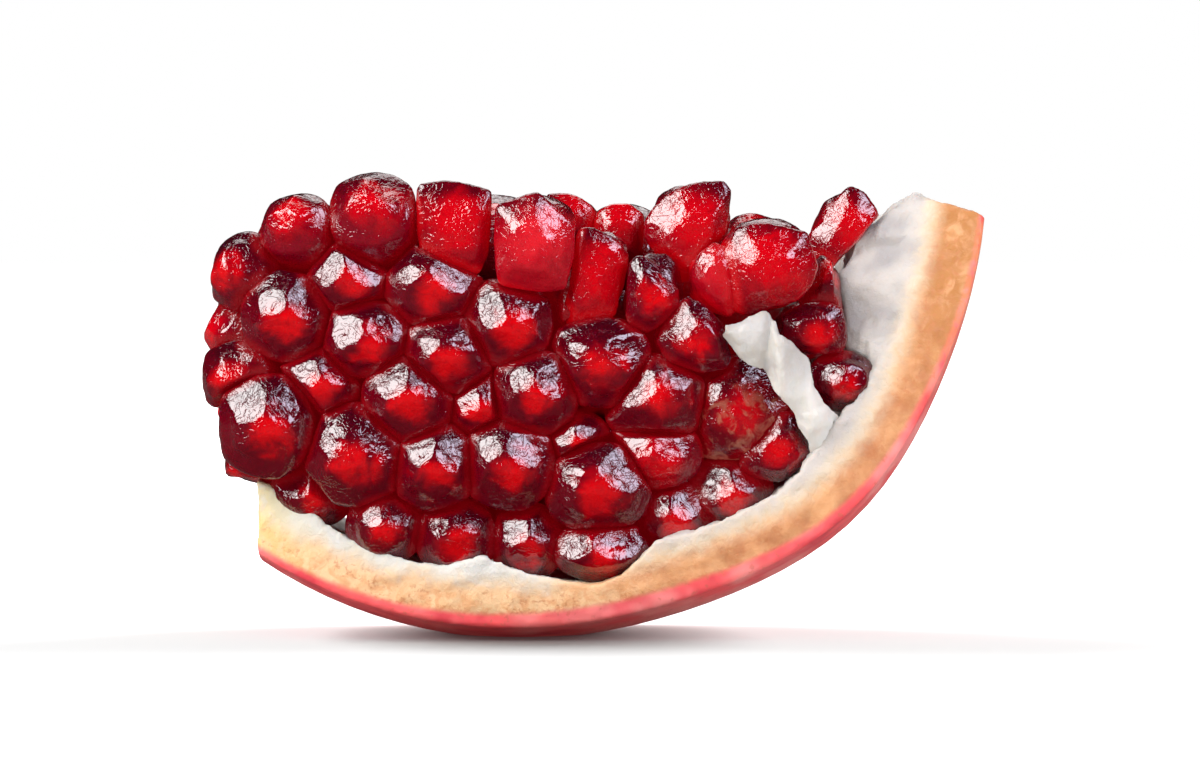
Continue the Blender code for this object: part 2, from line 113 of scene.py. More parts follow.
class Recipe:
    """The nodes of one material, or of the room round the piece, as they are put together."""

    def __init__(self, name: str, shader: str = "Principled BSDF") -> None:
        """Starts a material, or with the Background shader, a room.

        Args:
            name: its name.
            shader: the shader that it starts with.
        """
        kinds = bpy.data.worlds if shader == "Background" else bpy.data.materials
        self.made = kinds.new(name)
        self.made.use_nodes = True
        self.tree = self.made.node_tree
        self.shader = self.tree.nodes[shader]

    def node(self, kind: str, settings: dict, inputs: dict, output: int | str = 0) -> Val:
        """Adds any node.

        Args:
            kind: the node's type.
            settings: its properties, which are set first.
            inputs: its sockets' values or links, by name or number.
            output: which of its outputs is returned.

        Returns:
            That output.
        """
        made = self.tree.nodes.new(kind)
        for key, value in settings.items():
            setattr(made, key, value)
        for key, value in inputs.items():
            self.feed(made.inputs[key], value)
        return Val(self, made.outputs[output])

    def feed(self, socket: bpy.types.NodeSocket, value: "Val | float | Colour") -> None:
        """Links a value to a socket, or sets the socket to a plain number or colour."""
        if isinstance(value, Val):
            self.tree.links.new(value.socket, socket)
        elif isinstance(value, tuple) and len(value) < len(socket.default_value):
            socket.default_value = (*value, 1.0)
        else:
            socket.default_value = value

    def dress(self, **values: "Val | float | Colour") -> bpy.types.Material | bpy.types.World:
        """Feeds the shader's sockets.

        Args:
            values: the sockets' values or links, by name, with underscores for spaces.

        Returns:
            The finished material or room.
        """
        for key, value in values.items():
            self.feed(self.shader.inputs[key.replace("_", " ")], value)
        return self.made

    def place(self, stretch: Triple = (1.0, 1.0, 1.0)) -> Val:
        """The piece's own coordinates in millimetres, stretched along the axes."""
        point = self.node("ShaderNodeTexCoord", {}, {}, "Object")
        scale = tuple(share / MM for share in stretch)
        return self.node("ShaderNodeMapping", {}, {"Vector": point, "Scale": scale})

    def noise(self, size: float, detail: float = 2.0, twist: float = 0.0, at: Val | None = None) -> Val:
        """Soft noise from 0 to 1.

        Args:
            size: how big its lumps are, in millimetres.
            detail: how much finer noise is added to it.
            twist: how far it is distorted.
            at: the coordinates in millimetres, or None for the piece's own.

        Returns:
            The noise.
        """
        inputs = {
            "Vector": at or self.place(),
            "Scale": 1.0 / size,
            "Detail": detail,
            "Roughness": 0.55,
            "Distortion": twist,
        }
        return self.node("ShaderNodeTexNoise", {}, inputs)

    def rays(self, kind: str) -> Val:
        """Whether the light's path is of a kind, as 1 or 0."""
        return self.node("ShaderNodeLightPath", {}, {}, kind)

    def mark(self, name: str) -> Val:
        """A number that the piece carries at each of its points."""
        return self.node("ShaderNodeAttribute", {"attribute_name": name}, {}, "Fac")

    def blend(self, share: Val | float, first: "Val | Colour", second: "Val | Colour") -> Val:
        """A colour between two, where share 0 is the first."""
        settings = {"data_type": "RGBA"}
        return self.node("ShaderNodeMix", settings, {0: share, 6: first, 7: second}, 2)

    def dim(self, colour: "Val | Colour", share: Val | float) -> Val:
        """A colour made darker, where share 0 is black."""
        return self.blend(share, (0.0, 0.0, 0.0), colour)

    def bump(self, height: Val, depth: float, strength: float = 1.0, under: Val | None = None) -> Val:
        """A surface raised by a height.

        Args:
            height: the height, from 0 to 1.
            depth: what a height of 1 stands for, in millimetres.
            strength: how much of it shows.
            under: another bump that this one lies on.

        Returns:
            The surface's direction.
        """
        inputs = {"Height": height, "Distance": depth * MM, "Strength": strength}
        if under:
            inputs["Normal"] = under
        return self.node("ShaderNodeBump", {}, inputs)


@dataclass(frozen=True)
class Cut:
    """How the front of a block is cut: sizes are shares of its outline, and step and shift are in mm."""

    step: float = 1.5
    face_size: float = 0.50
    shift: tuple[float, float] = (0.0, -0.3)
    back_size: float = 0.75


@dataclass(frozen=True)
class Lumps:
    """Soft lumps in a surface: their size and depth in mm, and the vertex group that they are kept to."""

    name: str
    size: float
    depth: float
    where: str = ""


class Bench:
    """The hand moves that the pieces are made with."""

    @staticmethod
    def drop() -> None:
        """Lets go of every object."""
        for other in bpy.context.selected_objects:
            other.select_set(False)

    @staticmethod
    def take(obj: bpy.types.Object) -> None:
        """Selects one object and nothing else."""
        Bench.drop()
        obj.select_set(True)
        bpy.context.view_layer.objects.active = obj

    @staticmethod
    def open_up(obj: bpy.types.Object) -> None:
        """Takes an object into edit mode, with all of it selected."""
        Bench.take(obj)
        bpy.ops.object.mode_set(mode="EDIT")
        bpy.ops.mesh.select_all(action="SELECT")

    @staticmethod
    def copy_of(node: str, name: str) -> bpy.types.Object:
        """A piece that starts as a CAD node's shape, with its loose triangles merged.

        Args:
            node: the CAD node.
            name: the piece's name.

        Returns:
            The piece, selected.
        """
        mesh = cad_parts[node].data.copy()
        mesh.name = name
        mesh.materials.clear()
        obj = bpy.data.objects.new(name, mesh)
        bpy.context.scene.collection.objects.link(obj)
        Bench.open_up(obj)
        bpy.ops.mesh.remove_doubles(threshold=MERGE)
        bpy.ops.object.mode_set(mode="OBJECT")
        return obj

    @staticmethod
    def slice_off(obj: bpy.types.Object, point: Vector, normal: Vector) -> None:
        """Cuts away what lies beyond a plane and closes the cut."""
        Bench.open_up(obj)
        bpy.ops.mesh.bisect(plane_co=point, plane_no=normal, use_fill=True, clear_outer=True)
        bpy.ops.object.mode_set(mode="OBJECT")

    @staticmethod
    def crease(obj: bpy.types.Object, sharp: float, hold: float) -> None:
        """Makes the edges that bend more than an angle hold their shape when the piece is subdivided.

        Args:
            obj: the piece.
            sharp: the angle, in degrees.
            hold: how firmly those edges hold, from 0 to 1.
        """
        Bench.open_up(obj)
        bpy.ops.mesh.dissolve_limited(angle_limit=NEARLY_FLAT)
        bpy.ops.mesh.select_all(action="DESELECT")
        bpy.ops.mesh.select_mode(type="EDGE")
        bpy.ops.mesh.edges_select_sharp(sharpness=math.radians(sharp))
        bpy.ops.transform.edge_crease(value=hold)
        bpy.ops.object.mode_set(mode="OBJECT")

    @staticmethod
    def join(obj: bpy.types.Object, other: bpy.types.Object) -> None:
        """Makes the other object part of this one."""
        Bench.take(obj)
        other.select_set(True)
        bpy.ops.object.join()

    @staticmethod
    def work(obj: bpy.types.Object, kind: str, **settings: object) -> None:
        """Adds a modifier and applies it.

        Args:
            obj: the piece.
            kind: the modifier's type.
            settings: its properties.
        """
        modifier = obj.modifiers.new(kind.title(), kind)
        for key, value in settings.items():
            setattr(modifier, key, value)
        Bench.take(obj)
        bpy.ops.object.modifier_apply(modifier=modifier.name)

    @staticmethod
    def even_out(obj: bpy.types.Object, grain: float) -> None:
        """Gives a piece an even skin of small faces, of a size in millimetres."""
        Bench.work(obj, "REMESH", mode="VOXEL", voxel_size=grain * MM)

    @staticmethod
    def soften(obj: bpy.types.Object, times: int) -> None:
        """Smooths a piece, this many times over."""
        Bench.work(obj, "SMOOTH", factor=0.5, iterations=times)

    @staticmethod
    def roughen(obj: bpy.types.Object, lumps: Lumps, level: float = 0.5) -> None:
        """Raises and sinks a piece's surface in soft lumps.

        Args:
            obj: the piece.
            lumps: their pattern.
            level: the height in the pattern, from 0 to 1, that leaves the surface where it is.
        """
        texture = bpy.data.textures.get(lumps.name) or bpy.data.textures.new(lumps.name, "CLOUDS")
        texture.noise_scale = lumps.size * MM
        settings = {"texture": texture, "strength": lumps.depth * MM, "mid_level": level}
        Bench.work(obj, "DISPLACE", **settings, vertex_group=lumps.where)

    @staticmethod
    def in_box(node: str, shares: np.ndarray) -> np.ndarray:
        """Places given as shares of a CAD node's box."""
        low, high = (np.array(corner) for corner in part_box(node))
        return low + shares * (high - low)

    @staticmethod
    def points(obj: bpy.types.Object) -> np.ndarray:
        """The places of an object's points."""
        places = np.empty(len(obj.data.vertices) * 3)
        obj.data.vertices.foreach_get("co", places)
        return places.reshape(-1, 3)

    @staticmethod
    def move(obj: bpy.types.Object, places: np.ndarray) -> None:
        """Moves an object's points to new places."""
        obj.data.vertices.foreach_set("co", places.astype(np.float32).ravel())
        obj.data.update()

    @staticmethod
    def note(obj: bpy.types.Object, name: str, values: np.ndarray) -> None:
        """Gives each point of an object a number that its finish reads."""
        attribute = obj.data.attributes.new(name, "FLOAT", "POINT")
        attribute.data.foreach_set("value", values.astype(np.float32))

    @staticmethod
    def weigh(obj: bpy.types.Object, name: str, values: np.ndarray) -> None:
        """Makes a vertex group whose weights are these, rounded to tenths."""
        group = obj.vertex_groups.new(name=name)
        tenths = np.clip(np.round(values * 10), 0, 10).astype(int)
        for tenth in range(1, 11):
            group.add(np.flatnonzero(tenths == tenth).tolist(), tenth / 10, "REPLACE")

    @staticmethod
    def hand_over(obj: bpy.types.Object, slot: str, *nodes: str) -> None:
        """Shades a finished piece smooth, attaches it to the root body to move with, and hides the CAD
        nodes that it stands for.

        Args:
            obj: the piece.
            slot: what it is made of; not used.
            nodes: the CAD nodes that it stands for.
        """
        Bench.take(obj)
        bpy.ops.object.shade_smooth()
        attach(obj, "root")
        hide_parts(*nodes)
        LOG.info("%s: %d faces", obj.name, len(obj.data.polygons))


@dataclass(frozen=True)
class ArilFinish:
    """Wet, juicy flesh with painted light: a middle painted bright and glowing as if lit through, a darker
    rim with painted shade towards the top of the cap, and even red flanks painted lighter and glowing in
    the grooves between arils.
    """

    name: str
    core: Colour
    rim: Colour
    flank: Colour
    core_start: float = 0.66
    core_end: float = 0.12
    glow: float = 0.38
    roughness: float = 0.08
    rim_shade: float = 0.75
    streaking: float = 0.35
    staining: float = 0.6
    wrinkle_depth: float = 0.0495
    # Painted shade: the colour that the top of the rim darkens to.
    painted_shade_colour: Colour = (0.02, 0.0, 0.003)
    stain: Colour | None = None

    def make(self) -> bpy.types.Material:
        """Makes the material.

        Returns:
            The material, which reads the marks cap_share, cap_rise, groove_gap and, if stained, stain.
        """
        recipe = Recipe(self.name)
        blotch = recipe.noise(2.8, 2.0, 0.6)
        streak = recipe.noise(0.8, 2.0, 1.0)
        # Painted glow: the middle of each cap, round a centre a little off the cap's middle, is painted
        # bright red and the rim darker, standing in for light that passes through the flesh and gathers in
        # it.
        share = recipe.mark("cap_share") + (blotch - 0.5) * 1.1
        core = share.step(self.core_start, self.core_end)
        # Painted light: where another aril lies close, in the grooves between arils, the flesh takes the
        # flank colour, lighter than the rim, standing in for light that passes through the packed arils;
        # there it is also rougher and has no coat.
        flank = recipe.mark("groove_gap").step(1.5, 0.5)
        # Painted shade: the rim darkens towards the top of the cap, broken by streaks, by as much as
        # rim_shade says.
        shade = (recipe.mark("cap_rise") + (streak - 0.5) * 0.8).step(0.05, 0.85)
        rim = recipe.blend(shade * self.rim_shade, self.rim, self.painted_shade_colour)
        flesh = recipe.blend(core, rim, self.core)
        flesh = recipe.blend(streak.step(0.45, 0.75) * self.streaking, flesh, rim)
        flesh = recipe.blend(flank, flesh, self.flank)
        if self.stain:
            patch = recipe.noise(1.6, 3.0, 0.8).step(0.48, 0.66) * recipe.mark("stain")
            flesh = recipe.blend(patch * self.staining, flesh, self.stain)
        # Painted glow: the flesh gives off light of the bright middle's colour, and of the flank colour in
        # the grooves, though it is no lamp.
        lit = recipe.dim(self.core, core * 0.35)
        lit = recipe.blend(flank, lit, self.flank)
        wrinkle = (recipe.noise(1.4, 1.0, 1.6) - 0.5).size().step(0.0, 0.11)
        pits = recipe.noise(0.5, 1.0, 0.8).step(0.44, 0.66) * recipe.noise(3.0, 1.0).step(0.35, 0.55)
        surface = recipe.bump(pits * 0.6 + wrinkle * 0.4, self.wrinkle_depth)
        return recipe.dress(
            Base_Color=flesh,
            Roughness=flank * 0.12 + streak * 0.06 + (self.roughness - 0.03),
            Normal=surface,
            Emission_Color=lit,
            Emission_Strength=self.glow,
            Subsurface_Weight=0.2,
            Subsurface_Radius=(1.0, 0.15, 0.12),
            Subsurface_Scale=2.5 * MM,
            Specular_IOR_Level=0.86,
            IOR=1.5,
            Coat_Weight=(1 - flank) * 0.3,
            Coat_Roughness=0.06,
        )


class Clarity(Enum):
    """How much light an aril lets through, painted into its flesh: the clearer arils are painted brighter
    and glow more, as if lit from behind.
    """

    DARK = ArilFinish("dark_aril", (0.42, 0.0, 0.002), (0.09, 0.0, 0.004), (0.14, 0.0, 0.002))
    RED = ArilFinish("red_aril", (0.40, 0.0, 0.003), (0.14, 0.0, 0.005), (0.16, 0.0, 0.002), 0.9, 0.1)
    CLEAR = ArilFinish(
        "clear_aril", (0.38, 0.0, 0.003), (0.20, 0.0, 0.004), (0.28, 0.0, 0.002), 1.0, 0.2, 0.45
    )
    PALE = ArilFinish(
        "pale_aril", (0.44, 0.008, 0.014), (0.26, 0.001, 0.006), (0.30, 0.0, 0.003), 1.0, 0.2, 0.45
    )
    STAINED = ArilFinish(
        "stained_aril",
        (0.34, 0.0, 0.003),
        (0.10, 0.0, 0.004),
        (0.14, 0.0, 0.002),
        stain=(0.32, 0.12, 0.075),
    )


FORWARD = (0.0, -1.0, 0.0)


@dataclass(frozen=True)
class Egg:
    """An aril that sits whole in the rind: its size, and how far its middle is from its node's, in mm."""

    size: Triple
    shift: Triple = (0.0, 0.0, 0.0)


@dataclass(frozen=True)
class Block:
    """An aril that stands free: its outline in shares of its node's width and height, and its cut."""

    outline: tuple[tuple[float, float], ...]
    cut: Cut = Cut()


@dataclass
class Aril:
    """One aril, pressed flat by its neighbours, with a wet cap. Sizes are in mm, and angles in degrees."""

    name: str
    node: str
    facing: Triple = FORWARD
    clarity: Clarity = Clarity.DARK
    shape: Egg | Block | None = None
    grain: float = 0.27
    cuts: list[tuple[float, float]] = field(default_factory=list)
    sharp: float = 26.0
    hold: float = 0.6
    block_hold: float = 0.85
    rounding: int = 3
    lumps: tuple[Lumps, ...] = (Lumps("aril_lumps", 2.6, 0.20), Lumps("aril_puckers", 0.9, 0.13))
    lump_level: float = 0.4
    root_size: float = 0.90
    root_back: float = 0.8
    facets: tuple[Triple, ...] = ((138.0, 32.0, 0.6), (45.0, 35.0, 0.6), (265.0, 26.0, 0.4))
    turn_play: float = 18.0
    tilt_play: float = 7.0
    depth_play: tuple[float, float] = (0.4, 1.5)
    flatness: float = 0.94
    shoulder: float = 0.40
    cap_waist: float = 0.25
    cap_depth: float = 3.5
    waist_start: float = 1.8
    waist_length: float = 1.4
    calm: float = 2.0
    reach_rank: float = 92.0
    glow_shift: Triple = (0.4, 0.0, -0.5)
    stain_rise: float = 1.5
    stain_start: float = 0.9

    def build(self) -> bpy.types.Object:
        """Makes the aril.

        Returns:
            The piece, not yet dressed.
        """
        obj = Bench.copy_of(self.node, self.name)
        for x, side in self.cuts:
            Bench.slice_off(obj, Vector((x, 0, 0)), Vector((side, 0, 0)))
        Bench.crease(obj, self.sharp, self.hold)
        Bench.work(obj, "SUBSURF", levels=2, render_levels=2)
        if self.shape:
            self.slim(obj)
        if isinstance(self.shape, Egg):
            Bench.join(obj, self.egg(self.shape))
        elif isinstance(self.shape, Block):
            Bench.join(obj, self.block(self.shape))
        Bench.even_out(obj, self.grain)
        if not isinstance(self.shape, Block):
            self.flatten(obj)
        Bench.soften(obj, self.rounding)
        for lumps in self.lumps:
            Bench.roughen(obj, lumps, self.lump_level)
        self.press(obj)
        return obj

    def slim(self, obj: bpy.types.Object) -> None:
        """Makes the aril's root slimmer, to carry a shape of its own at the front."""
        low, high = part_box(self.node)
        middle = np.array((low + high) / 2) + np.array((0, self.root_back * MM, 0))
        Bench.move(obj, middle + (Bench.points(obj) - middle) * self.root_size)

    def egg(self, egg: Egg) -> bpy.types.Object:
        """The whole, rounded front of an aril that sits in the rind.

        Args:
            egg: its shape.

        Returns:
            The front.
        """
        low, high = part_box(self.node)
        middle = (low + high) / 2
        middle.y = low.y + egg.size[1] / 2 * MM
        middle += Vector(egg.shift) * MM
        size = Vector(egg.size) * MM
        Bench.drop()
        bpy.ops.mesh.primitive_ico_sphere_add(subdivisions=4, radius=0.5, location=middle, scale=size)
        bpy.ops.object.transform_apply(location=True, rotation=True, scale=True)
        return bpy.context.object

    def block(self, block: Block) -> bpy.types.Object:
        """The front of an aril that stands free, which narrows to a small front face and a small back.

        Args:
            block: its shape.

        Returns:
            The front.
        """
        low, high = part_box(self.node)
        back, cut = (low.y + high.y) / 2, block.cut
        outline = Bench.in_box(self.node, np.array([(x, 0.0, z) for x, z in block.outline]))
        outline[:, 1] = back
        Bench.drop()
        bpy.ops.mesh.primitive_circle_add(vertices=len(outline), fill_type="NGON")
        obj = bpy.context.object
        Bench.move(obj, outline)
        Bench.open_up(obj)
        bpy.ops.transform.resize(value=(cut.back_size, 1, cut.back_size))
        reach = low.y + cut.step * MM - back
        bpy.ops.mesh.extrude_region_move(TRANSFORM_OT_translate={"value": (0, reach, 0)})
        bpy.ops.transform.resize(value=(1 / cut.back_size, 1, 1 / cut.back_size))
        ahead = (cut.shift[0] * MM, -cut.step * MM, cut.shift[1] * MM)
        bpy.ops.mesh.extrude_region_move(TRANSFORM_OT_translate={"value": ahead})
        bpy.ops.transform.resize(value=(cut.face_size, 1, cut.face_size))
        bpy.ops.mesh.select_all(action="SELECT")
        bpy.ops.mesh.normals_make_consistent(inside=False)
        bpy.ops.object.mode_set(mode="OBJECT")
        Bench.crease(obj, self.sharp, self.block_hold)
        Bench.work(obj, "SUBSURF", levels=3, render_levels=3)
        return obj

    def flatten(self, obj: bpy.types.Object) -> None:
        """Presses a few flat facets into the cap, which catch the light.

        Args:
            obj: the aril.
        """
        facing = Vector(self.facing).normalized()
        across = Vector((0, 0, 1)).cross(facing).normalized()
        up = facing.cross(across)
        dice = random.Random(self.name)
        places = Bench.points(obj)
        for turn, tilt, depth in self.facets:
            turn = math.radians(turn + dice.uniform(-self.turn_play, self.turn_play))
            tilt = math.radians(tilt + dice.uniform(-self.tilt_play, self.tilt_play))
            depth *= dice.uniform(*self.depth_play) * MM
            sideways = across * math.cos(turn) + up * math.sin(turn)
            away = np.array(facing * math.cos(tilt) + sideways * math.sin(tilt))
            heights = places @ away
            over = np.clip(heights - heights.max() + depth, 0, None)
            places -= np.outer(over * self.flatness, away)
        Bench.move(obj, places)

    def press(self, obj: bpy.types.Object) -> None:
        """Widens the aril below its cap until it meets its neighbours, and notes where each point is.

        The notes are how far a point is from the centre of the cap's painted glow, a little off the cap's
        middle, and how far above the cap's middle it is, which sets the painted shade, both over the cap's
        reach, and on a stained aril how near the stain is.

        Args:
            obj: the aril.
        """
        facing = np.array(Vector(self.facing).normalized())
        places = Bench.points(obj)
        along = places @ facing
        depth = along.max() - along
        on_cap = depth < self.cap_depth * MM
        middle = (places[on_cap].min(axis=0) + places[on_cap].max(axis=0)) / 2
        off = places - middle
        off -= np.outer(off @ facing, facing)
        away = np.linalg.norm(off, axis=1)
        if not isinstance(self.shape, Block):
            sink = np.clip((depth / MM - self.waist_start) / self.waist_length, 0, 1)
            sink = sink * sink * (3 - 2 * sink)
            push = (sink * (self.shoulder + self.cap_waist) - self.cap_waist) * MM
            push *= np.clip(away / (self.calm * MM), 0, 1)
            places += off / np.maximum(away, NOTHING)[:, None] * push[:, None]
            Bench.move(obj, places)
        reach = np.percentile(away[on_cap], self.reach_rank)
        # Painted glow: its centre is moved off the cap's middle by glow_shift.
        off = places - middle - np.array(self.glow_shift) * MM
        off -= np.outer(off @ facing, facing)
        away = np.linalg.norm(off, axis=1)
        Bench.note(obj, "cap_share", away / reach)
        Bench.note(obj, "cap_rise", (places[:, 2] - middle[2]) / reach)
        if self.clarity is Clarity.STAINED:
            low = (middle[2] - places[:, 2]) / reach
            Bench.note(obj, "stain", np.clip(low * self.stain_rise + self.stain_start, 0, 1))


@dataclass
class ArilMass:
    """All the arils: the front layer, the crown, the sides, and the hidden rows piece by piece."""

    turned: dict[str, Triple] = field(default_factory=lambda: {
        "upper_1": (-0.35, -0.75, 0.5),
        "upper_2": (-0.1, -0.8, 0.55),
        "upper_3": (-0.6, -0.75, 0.2),
        "middle_8": (-0.5, -0.9, 0.0),
        "crown_1": (-0.05, -0.9, 0.4),
        "crown_2": (0.1, -0.9, 0.4),
        "crown_3": (0.05, -0.9, 0.4),
        "crown_4": (0.15, -0.9, 0.4),
        "crown_5": (-0.1, -0.9, 0.4),
        "crown_6": (0.3, -0.9, 0.4),
        "side_1": (-0.9, -0.4, 0.1),
        "side_2": (-0.95, -0.2, -0.25),
        "side_3": (-0.7, -0.5, -0.4),
    })
    red: tuple[str, ...] = ("upper_1", "upper_2", "upper_7", "side_1", "lower_7")
    clear: tuple[str, ...] = ("crown_1", "crown_3", "crown_4", "crown_5", "crown_6")
    pale: tuple[str, ...] = ("crown_2", "inner_3")
    stained: tuple[str, ...] = ("middle_12",)
    shapes: dict[str, Egg | Block] = field(default_factory=lambda: {
        "floor_1": Egg((8.4, 7.0, 7.4), (0.0, 0.8, -0.1)),
        "floor_2": Egg((7.6, 7.0, 7.6), (0.0, 0.9, -0.5)),
        "floor_3": Egg((8.0, 7.0, 7.6), (0.0, 0.9, -0.7)),
        "floor_4": Egg((7.4, 7.0, 7.4), (0.0, 0.8, -0.8)),
        "floor_5": Egg((9.6, 7.0, 5.6), (0.0, 0.0, -0.3)),
        "floor_6": Egg((7.8, 7.0, 7.2), (0.0, 0.6, -0.5)),
        "floor_7": Egg((8.8, 7.0, 7.2), (0.0, 0.5, -0.5)),
        "chamber_2": Egg((6.8, 7.0, 5.7), (1.05, -4.6, 0.0)),
        "crown_1": Block((
            (-0.01, 0.86), (0.04, 0.95), (0.34, 1.0), (0.63, 0.97), (0.98, 0.89), (0.97, 0.68),
            (0.96, 0.46), (0.93, 0.22), (0.8, 0.06), (0.37, 0.11), (0.04, 0.3), (-0.01, 0.58),
        ), Cut(shift=(0.8, -0.8))),
        "crown_2": Block((
            (0.03, 0.85), (0.51, 0.99), (0.94, 0.66), (0.95, 0.4), (0.87, 0.18), (0.83, 0.04),
            (0.5, 0.0), (0.06, 0.09), (0.0, 0.41),
        ), Cut(2.0, 0.42, (-0.3, -0.6))),
        "crown_3": Block((
            (0.04, 0.92), (0.14, 1.0), (0.28, 1.01), (0.53, 0.96), (0.86, 0.78), (0.82, 0.54),
            (0.79, 0.24), (0.74, 0.01), (0.29, -0.22), (-0.07, -0.2), (-0.2, 0.02), (-0.1, 0.28),
            (0.0, 0.6),
        ), Cut(1.7, 0.42, (-0.7, -0.4))),
        "crown_4": Block((
            (-0.02, 0.62), (0.06, 0.73), (0.2, 0.87), (0.41, 0.96), (0.72, 1.01), (0.89, 0.99),
            (0.96, 0.91), (0.94, 0.74), (0.9, 0.51), (0.7, 0.31), (0.51, 0.03), (0.38, 0.02),
            (0.18, 0.23), (-0.02, 0.45),
        ), Cut(1.9, 0.48, (0.3, -1.0))),
        "crown_5": Block((
            (0.01, 0.52), (0.09, 0.67), (0.2, 0.86), (0.37, 0.92), (0.55, 0.91), (0.75, 0.86),
            (0.91, 0.82), (0.96, 0.65), (1.01, 0.49), (0.96, 0.3), (0.83, 0.16), (0.57, 0.08),
            (0.31, 0.01), (0.17, 0.05), (0.07, 0.24),
        ), Cut(2.3, 0.36, (0.2, -0.4))),
        "crown_6": Block((
            (0.08, 0.53), (0.34, 0.72), (0.5, 0.9), (0.72, 1.02), (0.84, 1.01), (1.02, 0.93),
            (1.21, 0.73), (1.02, 0.6), (0.89, 0.46), (0.64, 0.32), (0.41, 0.16), (0.23, -0.01),
            (0.04, -0.03), (0.01, 0.26),
        ), Cut(1.5, 0.5, (0.3, -0.4))),
        "inner_1": Block((
            (0.09, 0.99), (0.36, 1.01), (0.67, 0.96), (0.84, 0.88), (0.91, 0.78), (0.87, 0.58),
            (0.57, 0.45), (0.14, 0.5),
        )),
        "inner_2": Block((
            (-0.06, 0.81), (0.05, 0.94), (0.28, 1.01), (0.62, 1.01), (0.89, 0.88), (0.9, 0.64),
            (0.8, 0.38), (0.08, 0.38), (-0.06, 0.59),
        )),
        "inner_3": Block((
            (0.1, 0.71), (0.22, 0.89), (0.54, 1.06), (0.93, 0.93), (1.11, 0.41), (0.99, 0.13),
            (0.81, 0.06), (0.54, 0.16), (0.24, 0.35), (0.1, 0.53),
        )),
        "lower_8": Block((
            (0.0, 0.28), (0.04, 0.48), (0.18, 0.65), (0.37, 0.82), (0.52, 0.91), (0.64, 0.88),
            (0.76, 0.71), (0.88, 0.48), (0.89, 0.35), (0.76, 0.22), (0.52, 0.06), (0.28, 0.07),
            (0.06, 0.17),
        ), Cut(1.6, 0.5, (0.5, -0.5))),
        "chamber_1": Block((
            (0.12, 0.76), (0.29, 0.9), (0.53, 0.98), (0.8, 1.0), (0.98, 0.9), (1.04, 0.66),
            (1.06, 0.37), (0.99, 0.17), (0.63, 0.1), (0.26, 0.2), (0.14, 0.49),
        )),
        "upper_8": Block((
            (0.1, 0.74), (0.14, 0.86), (0.25, 0.93), (0.34, 0.93), (0.5, 0.83), (0.67, 0.7),
            (0.86, 0.54), (0.86, 0.34), (0.6, 0.12), (0.4, 0.05), (0.17, 0.11), (0.08, 0.22),
        )),
        "middle_6": Block((
            (0.15, 0.67), (0.3, 0.89), (0.41, 1.01), (0.52, 1.02), (0.66, 0.97), (0.83, 0.79),
            (0.91, 0.65), (0.97, 0.47), (1.02, 0.26), (0.96, 0.12), (0.63, 0.06), (0.2, 0.22),
            (0.07, 0.47),
        ), Cut(1.9, 0.45, (1.0, -0.6))),
    })
    back_rows: tuple[int, ...] = (4, 7, 8, 8, 4, 3)
    core_row: int = 4
    between: Triple = (0.0, -0.7, 0.7)
    row_gap: float = 0.1
    middle: tuple[float, float] = (-4.0, 25.0)
    spread: tuple[float, float] = (9.0, 22.0)
    row_grain: float = 0.36
    groove_reach: float = 1.5
    thinning: int = 3

    def clarity_of(self, short: str) -> Clarity:
        """How clear the aril of this short name is."""
        for names, clarity in (
            (self.red, Clarity.RED),
            (self.clear, Clarity.CLEAR),
            (self.pale, Clarity.PALE),
            (self.stained, Clarity.STAINED),
        ):
            if short in names:
                return clarity
        between = short.startswith("inner") and short != "inner_5"
        return Clarity.CLEAR if between else Clarity.DARK

    def singles(self) -> list[Aril]:
        """The arils that are one CAD node each.

        Returns:
            The arils, not yet built.
        """
        found = []
        for node in sorted(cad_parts):
            if node.startswith("aril_"):
                short = node.removeprefix("aril_")
                facing = self.turned.get(short, FORWARD)
                if short.startswith("inner"):
                    facing = self.between
                shape = self.shapes.get(short)
                found.append(Aril("flesh_" + short, node, facing, self.clarity_of(short), shape))
        return found

    def row(self, node: str, count: int) -> list[Aril]:
        """The arils of one joined row, evenly spaced along it.

        Args:
            node: the row's CAD node.
            count: how many arils it joins.

        Returns:
            The arils, not yet built.
        """
        low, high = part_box(node)
        width = (high.x - low.x) / count
        short = node.removeprefix("arils_")
        found = []
        for number in range(count):
            start = low.x + width * number
            cuts = []
            if number:
                cuts.append((start + self.row_gap * MM, -1.0))
            if number < count - 1:
                cuts.append((start + width - self.row_gap * MM, 1.0))
            off_x = start + width / 2 - self.middle[0] * MM
            off_z = (low.z + high.z) / 2 - self.middle[1] * MM
            facing = (off_x * self.spread[0], 1.0, max(0.0, off_z) * self.spread[1])
            if short == "core_row":
                facing = (off_x * self.spread[0], 0.1, 1.0)
            name = f"flesh_{short}_{number + 1}"
            found.append(Aril(name, node, facing, Clarity.RED, None, self.row_grain, cuts))
        return found

    def note_grooves(self, pieces: list[bpy.types.Object]) -> None:
        """Notes on every point of every aril how far it is from the nearest other aril, in millimetres.

        Args:
            pieces: the arils. One point in a few, as thinning says, stands for the surface of each.
        """
        reach = self.groove_reach * MM
        places = [Bench.points(piece) for piece in pieces]
        for piece, own in zip(pieces, places):
            low, high = own.min(axis=0) - reach, own.max(axis=0) + reach
            near = np.concatenate([other[:: self.thinning] for other in places if other is not own])
            near = near[((near > low) & (near < high)).all(axis=1)]
            tree = KDTree(len(near))
            for index, point in enumerate(near):
                tree.insert(point, index)
            tree.balance()
            gaps = [tree.find(point)[2] for point in own]
            Bench.note(piece, "groove_gap", np.array(gaps) / MM)

